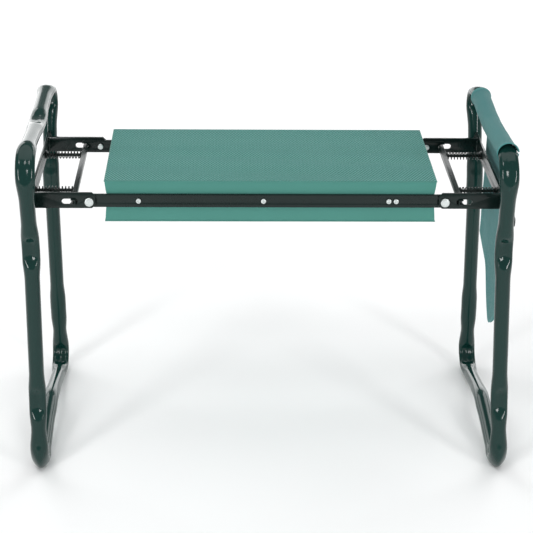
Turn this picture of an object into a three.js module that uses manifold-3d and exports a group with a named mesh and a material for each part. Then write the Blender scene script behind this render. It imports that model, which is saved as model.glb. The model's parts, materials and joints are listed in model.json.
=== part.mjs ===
// Folding garden kneeler seat: a foam bench between two tube side frames that fold in under it.
// Millimetres. +X along the bench to the viewer's right, +Y to the back, +Z up, the floor at Z = 0.
import * as THREE from "three";
import { mergeVertices } from "three/addons/utils/BufferGeometryUtils.js";
import Module from "manifold-3d";

const wasm = await Module();
wasm.setup();

// ---- driving dimensions ----
const GAP = 0.3; // between faces that touch on the real object

// side frames: one bent tube loop each
const HALF_LENGTH = 298.5; // bench centre to the outer face of a tube
const TUBE_R = 9.5;
const TUBE_SIDES = 12;
const FRAME_X = HALF_LENGTH - TUBE_R; // plane of a side frame's centre line
const LEAN = { left: 0, right: 2 }; // degrees that a loop's foot stands outside its plane at the rails
// centre line of the front half of a loop, from the floor up: distance from the middle, height, bend radius
const FRAME_BENDS = {
  bottomMiddle: { y: 0, z: 30, bend: 70 },
  foot: { y: 104, z: TUBE_R, bend: 60 },
  bottomCorner: { y: 149, z: TUBE_R, bend: 26 },
  lowerKink: { y: 136, z: 99, bend: 60 },
  upperKink: { y: 123, z: 304, bend: 60 },
  topCorner: { y: 149, z: 431, bend: 28 },
  topMiddle: { y: 0, z: 422, bend: 70 },
};

// bench
const RAIL_Z = 357; // height of the rails, the pivots and the locks
const PAD_LENGTH = 408;
const PAD_DEPTH = 190;
const PAD_X = 4; // the pad sits a little off the middle between the pivots
const PAD_TOP_Z = RAIL_Z + 25;
const PAD_BOTTOM_Z = RAIL_Z - 29;
const PAD_CORNER_R = 4;
const PAD_EDGE = 1.5; // chamfer along the outer edges of a foam slab
const BOARD = { length: 388, depth: PAD_DEPTH, thick: 12, z: RAIL_Z - 2 };
const RAIL = { high: 17, thick: 3 };
const RAIL_IN_Y = PAD_DEPTH / 2 + GAP;
const RAIL_OUT_Y = RAIL_IN_Y + RAIL.thick;
const SCREW_X = [-158, -5, 149, 158]; // along the front rail; the back rail is the same piece turned round
const SCREW = { shank: 1.6, hole: 1.9, head: 3.2, headHigh: 1.8, length: 16 };

// pivots and brackets
const PIVOT_X = 218;
const RIVET = { shank: 3.5, hole: 3.8, head: 5.6, headHigh: 2.8, tail: 5, tailHigh: 2 };
const PLATE = { below: 8.5, above: 11.5 }; // heights of the brackets and cross bars about the pivots
const BRACKET = { thick: 3, past: 7.5 }; // past: inboard end beyond the pivot
const BRACKET_IN_Y = RAIL_OUT_Y + GAP;
const BRACKET_OUT_Y = BRACKET_IN_Y + BRACKET.thick;
const SLOT = { from: 14, to: 33.5, high: 7.6 }; // measured outward from the pivot
const CROSS_BAR = { thick: 3, hole: 2.4 };
const WELD_GAP = 0.8; // the weld between an upright and the end of a cross bar
const CROSS_IN_X = FRAME_X - CROSS_BAR.thick / 2;

// locks: a spring-loaded channel that drops between the prongs of the rail ends
const LOCK = { from: 16.5, wide: 6, high: 7, web: 1.5, flange: 1.2, halfLength: 104 };
const PRONG = { root: LOCK.from - GAP, tip: 24.5, notch: LOCK.high / 2 + GAP, tipR: 2 };
const ROD = { r: 2, y: 63, intoBar: 0.8 };
const SPRING = { wire: 0.75, outer: 5.2, pitch: 4.7, stepsPerTurn: 9, sides: 4 };

// tool pouch on the right side frame
const SLEEVE = { front: -110, back: 112, inner: TUBE_R + 0.8, outer: TUBE_R + 3 };
const CLOTH = 1.8;
const PANEL = { in: SLEEVE.outer - CLOTH, out: SLEEVE.outer }; // distances outside the top bar's centre line
const POCKET_MOUTH = { out: 24, z: 327 };
const POCKET_FOOT = { out: PANEL.out + 2.6, z: 150 };
const POUCH_HALF_Y = 92;
// lower edge of the pouch, from the back forward: level, then down to a point
const POUCH_HEM = [
  [POUCH_HALF_Y, 238],
  [32, 216],
  [12, 182],
  [-18, POCKET_FOOT.z],
  [-45, 168],
  [-POUCH_HALF_Y, 226],
];
const BINDING = { high: 9, thick: 1 };

// the pouch bulges on one side, so the bench is moved to centre the whole box on X = 0
const leanAt = (side, z) => Math.tan(THREE.MathUtils.degToRad(LEAN[side])) * (RAIL_Z - z);
const POUCH_X = FRAME_X + leanAt("right", FRAME_BENDS.topMiddle.z);
const POUCH_OUT_X = POUCH_X + POCKET_MOUTH.out + GAP + BINDING.thick;
const CENTRE_SHIFT_X = -(POUCH_OUT_X - HALF_LENGTH) / 2;

// ---- materials ----
const finish = (color, roughness, metalness) =>
  new THREE.MeshStandardMaterial({ color, roughness, metalness });
const GREEN_GLOSS = [0x16332f, 0.2, 0.35];
const DARK_STEEL = [0x14211f, 0.4, 0.5];
const BRIGHT_STEEL = [0xc9d0cf, 0.3, 0.9];
const TEAL_FOAM = [0x4b9189, 0.9, 0];
const TEAL_CLOTH = [0x468c94, 0.85, 0];
const BOARD_PLY = [0x8f7148, 0.8, 0];
const DARK_TRIM = [0x10201f, 0.8, 0];

const part = new THREE.Group();
part.position.x = CENTRE_SHIFT_X;

function add(name, geometry, look) {
  const mesh = new THREE.Mesh(geometry, finish(...look));
  mesh.name = name;
  part.add(mesh);
  return mesh;
}

// ---- solids ----
function solid(geometry) {
  const bare = geometry.index ? geometry.toNonIndexed() : geometry.clone();
  bare.deleteAttribute("normal");
  bare.deleteAttribute("uv");
  const merged = mergeVertices(bare, 1e-3);
  return new wasm.Manifold(
    new wasm.Mesh({
      numProp: 3,
      vertProperties: merged.attributes.position.array,
      triVerts: new Uint32Array(merged.index.array),
    }),
  );
}

function geometryOf(manifold) {
  const mesh = manifold.getMesh();
  const geometry = new THREE.BufferGeometry();
  geometry.setAttribute("position", new THREE.BufferAttribute(mesh.vertProperties, 3));
  geometry.setIndex(new THREE.BufferAttribute(mesh.triVerts, 1));
  const flat = geometry.toNonIndexed();
  flat.computeVertexNormals();
  return flat;
}

function box(x0, x1, y0, y1, z0, z1) {
  return new THREE.BoxGeometry(x1 - x0, y1 - y0, z1 - z0).translate(
    (x0 + x1) / 2,
    (y0 + y1) / 2,
    (z0 + z1) / 2,
  );
}

function outline(points) {
  return new THREE.Shape(points.map(([a, b]) => new THREE.Vector2(a, b)));
}

// A shape drawn in X and Z, extruded along Y between two planes.
function plateAlongY(shape, yFrom, yTo, curveSegments = 6) {
  return new THREE.ExtrudeGeometry(shape, { depth: yTo - yFrom, bevelEnabled: false, curveSegments })
    .rotateX(Math.PI / 2)
    .translate(0, yTo, 0);
}

// A shape drawn in Y and Z, extruded along X between two planes.
function plateAlongX(shape, xFrom, xTo) {
  return new THREE.ExtrudeGeometry(shape, { depth: xTo - xFrom, bevelEnabled: false })
    .applyMatrix4(new THREE.Matrix4().set(0, 0, 1, xFrom, 1, 0, 0, 0, 0, 1, 0, 0, 0, 0, 0, 1));
}

// A turned piece on the Y axis; the profile is radius against length, from its base up.
function turned(profile, segments) {
  return new THREE.LatheGeometry(outline(profile).getPoints(), segments);
}

// Stations along a run of straight tube and bends in the Y, Z plane.
// Each corner is rounded by an arc; a closed run rounds its first and last points as well.
function bentRun(corners, closed, stepAngle = Math.PI / 12) {
  const points = corners.map(({ y, z }) => new THREE.Vector2(y, z));
  const count = points.length;
  const stations = [];
  for (let i = 0; i < count; i++) {
    if (!closed && (i === 0 || i === count - 1)) {
      const along = points[i === 0 ? 1 : count - 1].clone().sub(points[i === 0 ? 0 : count - 2]);
      stations.push({ at: points[i], along: along.normalize() });
      continue;
    }
    const before = points[(i + count - 1) % count];
    const after = points[(i + 1) % count];
    const into = points[i].clone().sub(before).normalize();
    const out = after.clone().sub(points[i]).normalize();
    const turn = Math.atan2(into.cross(out), into.dot(out));
    const bend = corners[i].bend;
    const start = points[i].clone().addScaledVector(into, -bend * Math.tan(Math.abs(turn) / 2));
    const side = Math.sign(turn);
    const centre = start.clone().add(new THREE.Vector2(-into.y, into.x).multiplyScalar(bend * side));
    const steps = Math.max(2, Math.ceil(Math.abs(turn) / stepAngle));
    for (let s = 0; s <= steps; s++) {
      const angle = (turn * s) / steps;
      stations.push({
        at: start.clone().rotateAround(centre, angle),
        along: into.clone().rotateAround(new THREE.Vector2(), angle),
      });
    }
  }
  return stations;
}

// A round tube through the stations, with flats that touch the circle at its sides, top and bottom.
function tubeThrough(stations, radius, closed) {
  const cornerR = radius / Math.cos(Math.PI / TUBE_SIDES);
  const positions = [];
  for (const { at, along } of stations)
    for (let k = 0; k < TUBE_SIDES; k++) {
      const angle = ((k + 0.5) * 2 * Math.PI) / TUBE_SIDES;
      const inPlane = cornerR * Math.sin(angle);
      positions.push(cornerR * Math.cos(angle), at.x - along.y * inPlane, at.y + along.x * inPlane);
    }
  const index = [];
  const rings = stations.length;
  const spans = closed ? rings : rings - 1;
  for (let i = 0; i < spans; i++)
    for (let k = 0; k < TUBE_SIDES; k++) {
      const a = i * TUBE_SIDES + k;
      const b = i * TUBE_SIDES + ((k + 1) % TUBE_SIDES);
      const c = ((i + 1) % rings) * TUBE_SIDES + k;
      const d = ((i + 1) % rings) * TUBE_SIDES + ((k + 1) % TUBE_SIDES);
      index.push(a, c, b, b, c, d);
    }
  if (!closed)
    for (let k = 1; k < TUBE_SIDES - 1; k++) {
      const last = (rings - 1) * TUBE_SIDES;
      index.push(0, k, k + 1, last, last + k + 1, last + k);
    }
  const geometry = new THREE.BufferGeometry();
  geometry.setAttribute("position", new THREE.Float32BufferAttribute(positions, 3));
  geometry.setIndex(index);
  const flat = geometry.toNonIndexed();
  flat.computeVertexNormals();
  return flat;
}

// ---- side frames ----
function frameCorners() {
  const b = FRAME_BENDS;
  const half = [b.foot, b.bottomCorner, b.lowerKink, b.upperKink, b.topCorner];
  const back = half.map(({ y, z, bend }) => ({ y, z, bend }));
  const front = half.map(({ y, z, bend }) => ({ y: -y, z, bend })).reverse();
  return [b.bottomMiddle, ...back, b.topMiddle, ...front];
}

// The loop leans by a shear, so that the flats under its corners stay level on the floor.
function frameTube(side) {
  const shear = new THREE.Matrix4().set(
    1, 0, leanAt(side, 0) / -RAIL_Z, FRAME_X + leanAt(side, 0),
    0, 1, 0, 0,
    0, 0, 1, 0,
    0, 0, 0, 1,
  );
  return tubeThrough(bentRun(frameCorners(), true), TUBE_R, true).applyMatrix4(shear);
}

// Flat bar on edge between the uprights, cut to their slope, with a hole for each guide rod.
function crossBar() {
  const { upperKink, topCorner } = FRAME_BENDS;
  const slope = (topCorner.y - upperKink.y) / (topCorner.z - upperKink.z);
  const wallY = TUBE_R * Math.hypot(1, slope) + WELD_GAP;
  const endY = (z) => upperKink.y + slope * (z - upperKink.z) - wallY;
  const [low, high] = [RAIL_Z - PLATE.below, RAIL_Z + PLATE.above];
  const shape = outline([[-endY(low), low], [endY(low), low], [endY(high), high], [-endY(high), high]]);
  for (const y of [-ROD.y, ROD.y])
    shape.holes.push(new THREE.Path().absarc(y, RAIL_Z, CROSS_BAR.hole, 0, 2 * Math.PI, true));
  return plateAlongX(shape, CROSS_IN_X, CROSS_IN_X + CROSS_BAR.thick);
}

// Bracket plate for the +X end: chamfered inboard end past the pivot, lock slot, square end at the cross bar.
function bracketShape() {
  const [low, high] = [RAIL_Z - PLATE.below, RAIL_Z + PLATE.above];
  const nose = PIVOT_X - BRACKET.past;
  const chamfer = 4;
  const shape = outline([
    [nose, low + chamfer],
    [nose + chamfer, low],
    [CROSS_IN_X - GAP, low],
    [CROSS_IN_X - GAP, high],
    [nose + chamfer, high],
    [nose, high - chamfer],
  ]);
  shape.holes.push(new THREE.Path().absarc(PIVOT_X, RAIL_Z, RIVET.hole, 0, 2 * Math.PI, true));
  const r = SLOT.high / 2;
  const slot = new THREE.Path();
  slot.absarc(PIVOT_X + SLOT.from + r, RAIL_Z, r, -Math.PI / 2, Math.PI / 2, true);
  slot.absarc(PIVOT_X + SLOT.to - r, RAIL_Z, r, Math.PI / 2, -Math.PI / 2, true);
  shape.holes.push(slot);
  return shape;
}

// ---- locks ----
// Channel for the +X end, its web toward the bench and its open side toward the cross bar.
function lockChannel() {
  const x0 = PIVOT_X + LOCK.from;
  const x1 = x0 + LOCK.wide;
  const h = LOCK.high / 2;
  const shape = outline([
    [x0, RAIL_Z - h],
    [x1, RAIL_Z - h],
    [x1, RAIL_Z - h + LOCK.flange],
    [x0 + LOCK.web, RAIL_Z - h + LOCK.flange],
    [x0 + LOCK.web, RAIL_Z + h - LOCK.flange],
    [x1, RAIL_Z + h - LOCK.flange],
    [x1, RAIL_Z + h],
    [x0, RAIL_Z + h],
  ]);
  return plateAlongY(shape, -LOCK.halfLength, LOCK.halfLength);
}

function guideRod(y) {
  const from = PIVOT_X + LOCK.from + LOCK.web + GAP;
  const to = CROSS_IN_X + ROD.intoBar;
  return new THREE.CylinderGeometry(ROD.r, ROD.r, to - from, 10)
    .rotateZ(Math.PI / 2)
    .translate((from + to) / 2, y, RAIL_Z);
}

class Helix extends THREE.Curve {
  constructor(radius, length, turns) {
    super();
    Object.assign(this, { radius, length, turns });
  }
  getPoint(t, target = new THREE.Vector3()) {
    const angle = t * this.turns * 2 * Math.PI;
    return target.set(t * this.length, this.radius * Math.cos(angle), this.radius * Math.sin(angle));
  }
}

function spring(y) {
  const margin = GAP + SPRING.wire;
  const from = PIVOT_X + LOCK.from + LOCK.wide + margin;
  const length = CROSS_IN_X - margin - from;
  const turns = Math.round(length / SPRING.pitch);
  const wire = new THREE.Shape().absarc(0, 0, SPRING.wire, 0, 2 * Math.PI, false);
  return new THREE.ExtrudeGeometry(wire, {
    steps: turns * SPRING.stepsPerTurn,
    curveSegments: SPRING.sides,
    extrudePath: new Helix(SPRING.outer - SPRING.wire, length, turns),
  }).translate(from, y, RAIL_Z);
}

// ---- bench ----
// A foam slab: round corners in plan, a chamfer round its outer face and one round its inner face.
function foamSlab(z0, z1) {
  const x = PAD_LENGTH / 2 - PAD_EDGE;
  const y = PAD_DEPTH / 2 - PAD_EDGE;
  const r = PAD_CORNER_R;
  const shape = new THREE.Shape();
  shape.absarc(x - r, y - r, r, 0, Math.PI / 2, false);
  shape.absarc(-x + r, y - r, r, Math.PI / 2, Math.PI, false);
  shape.absarc(-x + r, -y + r, r, Math.PI, 1.5 * Math.PI, false);
  shape.absarc(x - r, -y + r, r, 1.5 * Math.PI, 2 * Math.PI, false);
  return new THREE.ExtrudeGeometry(shape, {
    depth: z1 - z0 - 2 * PAD_EDGE,
    bevelThickness: PAD_EDGE,
    bevelSize: PAD_EDGE,
    bevelSegments: 1,
    curveSegments: 4,
  }).translate(PAD_X, 0, z0 + PAD_EDGE);
}

// Rail outline: at each end a round nose on the pivot, cut back below where the lock bar swings,
// and a prong over the lock bar that stops the frame from opening past upright.
function railShape() {
  const h = RAIL.high / 2;
  const steps = 6;
  const low = Math.asin(h / PRONG.root);
  const end = [[PIVOT_X + PRONG.root * Math.cos(low), RAIL_Z - h]];
  for (let i = 1; i <= steps; i++) {
    const a = low * (1 - i / steps);
    end.push([PIVOT_X + PRONG.root * Math.cos(a), RAIL_Z - PRONG.root * Math.sin(a)]);
  }
  end.push(
    [PIVOT_X + PRONG.root, RAIL_Z + PRONG.notch],
    [PIVOT_X + PRONG.tip - PRONG.tipR, RAIL_Z + PRONG.notch],
    [PIVOT_X + PRONG.tip, RAIL_Z + PRONG.notch + PRONG.tipR],
    [PIVOT_X + PRONG.tip, RAIL_Z + h - PRONG.tipR],
    [PIVOT_X + PRONG.tip - PRONG.tipR, RAIL_Z + h],
  );
  const mirrored = end.map(([x, z]) => [-x, z]).reverse();
  return outline([...end, ...mirrored]);
}

function rail(screwXs) {
  const shape = railShape();
  for (const x of [-PIVOT_X, PIVOT_X])
    shape.holes.push(new THREE.Path().absarc(x, RAIL_Z, RIVET.hole, 0, 2 * Math.PI, true));
  for (const x of screwXs)
    shape.holes.push(new THREE.Path().absarc(x, RAIL_Z, SCREW.hole, 0, 2 * Math.PI, true));
  return shape;
}

// Screw along +Y with its head outside at the base.
function screw() {
  const { shank, head, headHigh, length } = SCREW;
  const profile = [
    [0, 0],
    [head * 0.6, 0],
    [head, headHigh * 0.6],
    [head, headHigh],
    [shank, headHigh],
    [shank, headHigh + length - 2],
    [0, headHigh + length],
  ];
  return turned(profile, 8);
}

// Pivot rivet along +Y: domed head outside the bracket, shank, upset tail inside the rail.
function rivet() {
  const { shank, head, headHigh, tail, tailHigh } = RIVET;
  const grip = BRACKET.thick + RAIL.thick + 3 * GAP;
  const profile = [
    [0, 0],
    [head * 0.55, headHigh * 0.15],
    [head * 0.9, headHigh * 0.55],
    [head, headHigh],
    [shank, headHigh],
    [shank, headHigh + grip],
    [tail, headHigh + grip],
    [tail * 0.8, headHigh + grip + tailHigh],
    [0, headHigh + grip + tailHigh],
  ];
  return turned(profile, 14);
}

// ---- pouch ----
// Everything inside the pouch's outline from the side, or inside it by the cloth's thickness.
function pouchBlock(drawnIn = 0) {
  const top = RAIL_Z + 100;
  const hem = POUCH_HEM.map(([y, z]) => [y - Math.sign(y) * drawnIn, z + 2 * drawnIn]);
  const shape = outline([...hem.reverse(), [hem[hem.length - 1][0], top], [hem[0][0], top]]);
  return solid(plateAlongX(shape, POUCH_X - 40, POUCH_X + 60));
}

function sleeveRun(front, back) {
  const { topCorner, topMiddle } = FRAME_BENDS;
  const slope = (topCorner.z - topMiddle.z) / topCorner.y;
  const at = (y) => ({ y, z: topMiddle.z + slope * Math.abs(y) });
  return bentRun([at(back), topMiddle, at(front)], false);
}

// Sleeve round the top bar with the back panel hanging from its outboard side.
function pouchPanel() {
  const { topMiddle } = FRAME_BENDS;
  const sheet = solid(
    box(POUCH_X + PANEL.in, POUCH_X + PANEL.out, -POUCH_HALF_Y, POUCH_HALF_Y, 0, topMiddle.z),
  );
  const around = solid(
    tubeThrough(sleeveRun(SLEEVE.front, SLEEVE.back), SLEEVE.outer, false).translate(POUCH_X, 0, 0),
  );
  const bore = solid(
    tubeThrough(sleeveRun(SLEEVE.front - 20, SLEEVE.back + 20), SLEEVE.inner, false).translate(POUCH_X, 0, 0),
  );
  return sheet.intersect(pouchBlock()).add(around).subtract(bore);
}

// Front pocket: an outer wall and the gussets round it, open at the top and sewn to the panel.
function pouchPocket() {
  const seam = POUCH_X + PANEL.out + GAP;
  const mouth = POUCH_X + POCKET_MOUTH.out;
  const foot = POUCH_X + POCKET_FOOT.out;
  const wedge = outline([
    [seam, POCKET_FOOT.z],
    [foot, POCKET_FOOT.z],
    [mouth, POCKET_MOUTH.z],
    [seam, POCKET_MOUTH.z],
  ]);
  const hollow = outline([
    [seam - 1, POCKET_FOOT.z],
    [foot - CLOTH, POCKET_FOOT.z],
    [mouth - CLOTH, POCKET_MOUTH.z],
    [mouth - CLOTH, POCKET_MOUTH.z + 1],
    [seam - 1, POCKET_MOUTH.z + 1],
  ]);
  const across = (shape, drawnIn) => solid(plateAlongY(shape, -150, 150)).intersect(pouchBlock(drawnIn));
  return across(wedge, 0).subtract(across(hollow, CLOTH));
}

// Dark tape over the pocket's mouth, on the outside of its outer wall.
function pouchBinding() {
  const slope = (POCKET_MOUTH.out - POCKET_FOOT.out) / (POCKET_MOUTH.z - POCKET_FOOT.z);
  const top = POUCH_X + POCKET_MOUTH.out + GAP;
  const low = top - slope * BINDING.high;
  const shape = outline([
    [low, POCKET_MOUTH.z - BINDING.high],
    [low + BINDING.thick, POCKET_MOUTH.z - BINDING.high],
    [top + BINDING.thick, POCKET_MOUTH.z],
    [top, POCKET_MOUTH.z],
  ]);
  return plateAlongY(shape, -POUCH_HALF_Y, POUCH_HALF_Y);
}

// ---- assembly ----
// Everything at one end of the bench: drawn for +X, turned half a turn about Z for -X.
function end(side) {
  const turn = side === "left" ? Math.PI : 0;
  const place = (name, geometry, look) => {
    add(`${side}_${name}`, geometry.rotateZ(turn), look);
  };
  place("frame_tube", frameTube(side), GREEN_GLOSS);
  place("cross_bar", crossBar(), DARK_STEEL);
  place("lock_bar", lockChannel(), DARK_STEEL);
  for (const towards of [-1, 1]) {
    const facing = towards * (side === "left" ? -1 : 1) < 0 ? "front" : "rear";
    const y0 = towards < 0 ? -BRACKET_OUT_Y : BRACKET_IN_Y;
    place(`${facing}_bracket`, plateAlongY(bracketShape(), y0, y0 + BRACKET.thick), DARK_STEEL);
    place(`${facing}_guide_rod`, guideRod(towards * ROD.y), DARK_STEEL);
    place(`${facing}_spring`, spring(towards * ROD.y), DARK_STEEL);
  }
}

function bench() {
  add("upper_pad", foamSlab(BOARD.z + BOARD.thick / 2 + GAP, PAD_TOP_Z), TEAL_FOAM);
  add("lower_pad", foamSlab(PAD_BOTTOM_Z, BOARD.z - BOARD.thick / 2 - GAP), TEAL_FOAM);

  const half = BOARD.thick / 2;
  const x = BOARD.length / 2;
  const y = BOARD.depth / 2;
  let board = solid(box(PAD_X - x, PAD_X + x, -y, y, BOARD.z - half, BOARD.z + half));
  for (const [name, turn] of [["front", 0], ["rear", Math.PI]]) {
    const toward = turn === 0 ? -1 : 1;
    const yIn = turn === 0 ? -RAIL_OUT_Y : RAIL_IN_Y;
    const xs = SCREW_X.map((at) => at * -toward);
    add(`${name}_rail`, plateAlongY(rail(xs), yIn, yIn + RAIL.thick), DARK_STEEL);
    xs.forEach((at, i) => {
      const headY = RAIL_OUT_Y + GAP + SCREW.headHigh;
      const piece = screw().translate(0, -headY, 0).rotateZ(turn).translate(at, 0, RAIL_Z);
      add(`${name}_rail_screw_${i + 1}`, piece, BRIGHT_STEEL);
      const pilot = new THREE.CylinderGeometry(SCREW.hole, SCREW.hole, 2 * SCREW.length, 8);
      board = board.subtract(solid(pilot.translate(at, toward * y, RAIL_Z)));
    });
    for (const side of [-1, 1]) {
      const headY = BRACKET_OUT_Y + GAP + RIVET.headHigh;
      const piece = rivet().translate(0, -headY, 0).rotateZ(turn).translate(side * PIVOT_X, 0, RAIL_Z);
      add(`${name}_${side < 0 ? "left" : "right"}_pivot_rivet`, piece, BRIGHT_STEEL);
    }
  }
  add("core_board", geometryOf(board), BOARD_PLY);
}

function pouch() {
  add("pouch_panel", geometryOf(pouchPanel()), TEAL_CLOTH);
  add("pouch_pocket", geometryOf(pouchPocket()), TEAL_CLOTH);
  add("pouch_binding", pouchBinding(), DARK_TRIM);
}

end("left");
end("right");
bench();
pouch();

export default part;
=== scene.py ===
"""Garden kneeler seat: the visual model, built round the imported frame.

Metres. +X runs along the bench to the pouch end, +Y to the back, +Z up, and the floor is at Z = 0.
The pieces of one end are modelled at the right end and copied half a turn round to the left.
"""

import json
import math

import bpy
import numpy as np
from mathutils import Matrix, Vector, kdtree, noise


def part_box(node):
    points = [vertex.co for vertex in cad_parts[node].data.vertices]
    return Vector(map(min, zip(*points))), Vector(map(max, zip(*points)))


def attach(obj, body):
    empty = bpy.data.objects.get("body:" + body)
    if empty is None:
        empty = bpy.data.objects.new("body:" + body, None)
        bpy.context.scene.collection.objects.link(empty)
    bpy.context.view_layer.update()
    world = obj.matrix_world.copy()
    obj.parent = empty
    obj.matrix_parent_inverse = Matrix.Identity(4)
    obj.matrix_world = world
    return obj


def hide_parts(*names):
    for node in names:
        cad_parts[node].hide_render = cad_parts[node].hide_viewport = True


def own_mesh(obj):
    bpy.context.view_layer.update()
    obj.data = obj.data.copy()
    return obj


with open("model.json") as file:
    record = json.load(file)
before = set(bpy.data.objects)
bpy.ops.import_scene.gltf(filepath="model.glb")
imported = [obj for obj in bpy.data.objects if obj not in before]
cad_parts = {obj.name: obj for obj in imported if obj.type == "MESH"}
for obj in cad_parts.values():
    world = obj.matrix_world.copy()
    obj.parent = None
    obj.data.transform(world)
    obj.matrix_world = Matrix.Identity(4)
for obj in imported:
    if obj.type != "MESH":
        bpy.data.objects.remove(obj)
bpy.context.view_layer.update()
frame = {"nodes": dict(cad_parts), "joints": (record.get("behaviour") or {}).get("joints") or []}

# ---------------------------------------------------------------- places taken from the frame
joints = {j["name"]: j for j in frame["joints"]}
right_pivot = Vector(joints["right_fold"]["pos_m"])
left_pivot = Vector(joints["left_fold"]["pos_m"])
MIDDLE_X = (right_pivot.x + left_pivot.x) / 2
RAIL_Z = right_pivot.z
to_middle, from_middle = (Matrix.Translation((x, 0, 0)) for x in (MIDDLE_X, -MIDDLE_X))
HALF_TURN = to_middle @ Matrix.Rotation(math.pi, 4, "Z") @ from_middle

# ---------------------------------------------------------------- sizes
TUBE_R = 0.0095
TUBE_SIDES = 48
RING = 0.003  # distance between the rings of a side frame
LEAN = {"left": 0, "right": math.radians(2)}  # how far each loop leans out towards its foot

# A loop's bends from the floor up: distance from the middle, height, bend radius,
# then how deep the inside of the bend is dented, how far its outside sinks,
# half the dent's length and how much the tube spreads there.
BENDS = [
    (0.000, 0.030, 0.070, 0.0030, 0.0003, 0.030, 0.10),
    (0.104, 0.0095, 0.060, 0, 0, 0, 0),
    (0.149, 0.0095, 0.026, 0.0085, -0.0040, 0.027, 0.22),
    (0.136, 0.099, 0.060, 0.0066, 0.0010, 0.024, 0.16),
    (0.123, 0.304, 0.060, 0.0070, 0.0010, 0.024, 0.18),
    (0.149, 0.431, 0.028, 0.0085, 0.0052, 0.030, 0.26),
    (0.000, 0.422, 0.070, 0.0048, 0.0008, 0.030, 0.16),
]
TOP_BAR = {"middle_z": 0.422, "slope": (0.431 - 0.422) / 0.149}  # it rises to both corners
UPRIGHT_SLOPE = (0.149 - 0.123) / (0.431 - 0.304)  # how fast the uprights close in below the top corners

# Flat bar, plates and locks.
EDGE = 0.0005  # rounding of a cut edge
CLEAR = 0.0003  # play round the lock bar
SLOT_IN, SLOT_OUT = 0.0025, 0.0335  # slot ends: inboard of the lock bar, and out from the pivot
PAST = 0.01  # how far a cutting tool stands out of the work
WIRE_R, COIL_R, COIL_TURNS = 0.00075, 0.00445, 11

# Foam. The rim's rings run from the face down: how far inside the ends and the sides, and how deep.
EMBOSS = {"pitch_x": 0.0041, "pitch_y": 0.0033, "deep": 0.0011, "cell": 0.00085}
FACE_INSIDE = 0.0016
RIM = [
    (0.0005, 0.0005, 0.0002),
    (0.0, 0.0, 0.0007),
    (0.0001, 0.0001, 0.0014),
    (0.0009, 0.0008, 0.0018),
    (0.0008, 0.0005, 0.0026),
]
END_PULL = {"upper_pad": 0.0026, "lower_pad": 0.0014}  # how far a slab's ends draw in towards its back

# Pouch. The hem's corners run from front to back: distance from the middle and height.
HEM = [(-0.092, 0.226), (-0.045, 0.168), (-0.018, 0.150), (0.012, 0.182), (0.032, 0.216), (0.092, 0.238)]
HEM_LOW = min(z for _, z in HEM)
HALF_WIDTH = {"sleeve": 0.110, "panel": 0.092}
SLEEVE_FORWARD = 0.014
SLEEVE_WRAP = 0.98  # share of a full turn that the sleeve goes round the top bar
FLARE = 0.28  # share of the panel's height over which it widens to the sleeve
CLOTH = 0.0013
THREAD = 0.0011  # spacing of the pouch cloth's threads


# ---------------------------------------------------------------- tools
def take(obj):
    """Makes obj the only selected object and the active one."""
    bpy.ops.object.select_all(action="DESELECT")
    obj.select_set(True)
    bpy.context.view_layer.objects.active = obj
    return obj


def settle(obj, name):
    """Names obj and puts its place, turn and scale into its mesh."""
    obj.name = obj.data.name = name
    take(obj)
    bpy.ops.object.transform_apply(location=True, rotation=True, scale=True)
    return obj


def block(name, low, high):
    """A box between two corners."""
    low, high = Vector(low), Vector(high)
    bpy.ops.mesh.primitive_cube_add(size=1, location=(low + high) / 2, scale=high - low)
    return settle(bpy.context.object, name)


def rod(name, start, end, radius, sides=32):
    """A cylinder from start to end."""
    start, end = Vector(start), Vector(end)
    axis = end - start
    turn = axis.to_track_quat("Z", "Y").to_euler()
    bpy.ops.mesh.primitive_cylinder_add(
        vertices=sides, radius=radius, depth=axis.length, location=(start + end) / 2, rotation=turn
    )
    return settle(bpy.context.object, name)


def pick(obj, kind, rule):
    """Opens obj for editing with those faces or edges selected whose middle and direction pass the rule."""
    take(obj)
    bpy.ops.object.mode_set(mode="EDIT")
    bpy.ops.mesh.select_mode(type=kind)
    bpy.ops.mesh.select_all(action="DESELECT")
    bpy.ops.object.mode_set(mode="OBJECT")
    points = obj.data.vertices
    if kind == "FACE":
        for face in obj.data.polygons:
            face.select = rule(face.center, face.normal)
    else:
        for edge in obj.data.edges:
            a, b = (points[i].co for i in edge.vertices)
            edge.select = rule((a + b) / 2, (b - a).normalized())
    bpy.ops.object.mode_set(mode="EDIT")


def done():
    bpy.ops.object.mode_set(mode="OBJECT")


def chamfer(obj, rule, width, segments=1):
    """Bevels the edges that pass the rule."""
    pick(obj, "EDGE", rule)
    bpy.ops.mesh.bevel(offset=width, segments=segments, affect="EDGES")
    done()


def cut(obj, *tools):
    """Cuts the tools out of obj."""
    for tool in tools:
        boolean = obj.modifiers.new("cut", "BOOLEAN")
        boolean.operation, boolean.solver, boolean.object = "DIFFERENCE", "EXACT", tool
        take(obj)
        bpy.ops.object.modifier_apply(modifier=boolean.name)
        bpy.data.objects.remove(tool)
    return obj


def soften(obj, width, segments=2, sharp=35):
    """Rounds every sharp edge a little and shades the rest smooth."""
    bevel = obj.modifiers.new("edges", "BEVEL")
    bevel.width, bevel.segments = width, segments
    bevel.limit_method, bevel.angle_limit = "ANGLE", math.radians(sharp)
    take(obj)
    bpy.ops.object.modifier_apply(modifier=bevel.name)
    bpy.ops.object.shade_smooth_by_angle(angle=math.radians(sharp))
    return obj


def join(name, *objects):
    """Joins objects into the first."""
    take(objects[0])
    for other in objects[1:]:
        other.select_set(True)
    bpy.ops.object.join()
    return settle(objects[0], name)


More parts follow.
